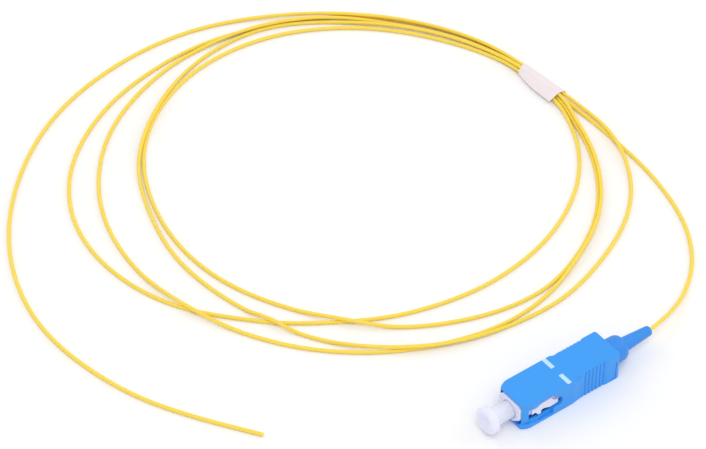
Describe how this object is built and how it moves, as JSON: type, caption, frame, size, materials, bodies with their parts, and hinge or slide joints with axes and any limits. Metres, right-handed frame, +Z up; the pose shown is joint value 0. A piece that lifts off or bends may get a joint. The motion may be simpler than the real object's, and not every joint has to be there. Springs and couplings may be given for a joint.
{
  "type": "fibre optic pigtail",
  "caption": "Thin buffered fibre tied in a loose coil, bare at one end and with a square push-pull plug, a tapered boot and a slip-off dust cap at the other.",
  "frame": {"origin": "bottom centre of the connector with its boot and dust cap, on the surface it lies on", "axes": "+X the way the plug goes into its adapter, along the connector; +Z up; +Y to the connector's left, away from the coil"},
  "size_m": [0.1456, 0.1557, 0.0074],
  "materials": {
    "housing_blue": "satin moulded plastic",
    "boot_blue": "soft moulded plastic",
    "frame_white": "satin moulded plastic",
    "cap_milky": "milky soft plastic",
    "white_ceramic": "polished zirconia",
    "nickel": "nickel plated, turned",
    "spring_steel": "drawn wire",
    "buffer_yellow": "smooth extruded buffer",
    "pale_tape": "matt adhesive tape"
  },
  "bodies": {
    "plug": {"plug_frame": "frame_white", "stop_ring": "nickel", "boot": "boot_blue", "spring": "spring_steel", "fibre_lead": "buffer_yellow", "fibre_coil": "buffer_yellow", "fibre_tail": "buffer_yellow", "tape_tie": "pale_tape"},
    "housing": {"outer_housing": "housing_blue"},
    "ferrule_unit": {"ferrule": "white_ceramic", "ferrule_flange": "nickel"},
    "cap": {"dust_cap": "cap_milky"}
  },
  "joints": [
    {"name": "housing_slide", "type": "slide", "parent": "plug", "child": "housing", "axis": [1, 0, 0], "range_m": [-0.0012, 0.0006]},
    {"name": "ferrule_slide", "type": "slide", "parent": "plug", "child": "ferrule_unit", "axis": [-1, 0, 0], "range_m": [0, 0.0008], "stiffness_N_per_m": 1500, "deforming": ["spring"]},
    {"name": "cap_slide", "type": "slide", "parent": "ferrule_unit", "child": "cap", "axis": [1, 0, 0], "range_m": [0, 0.015]}
  ]
}
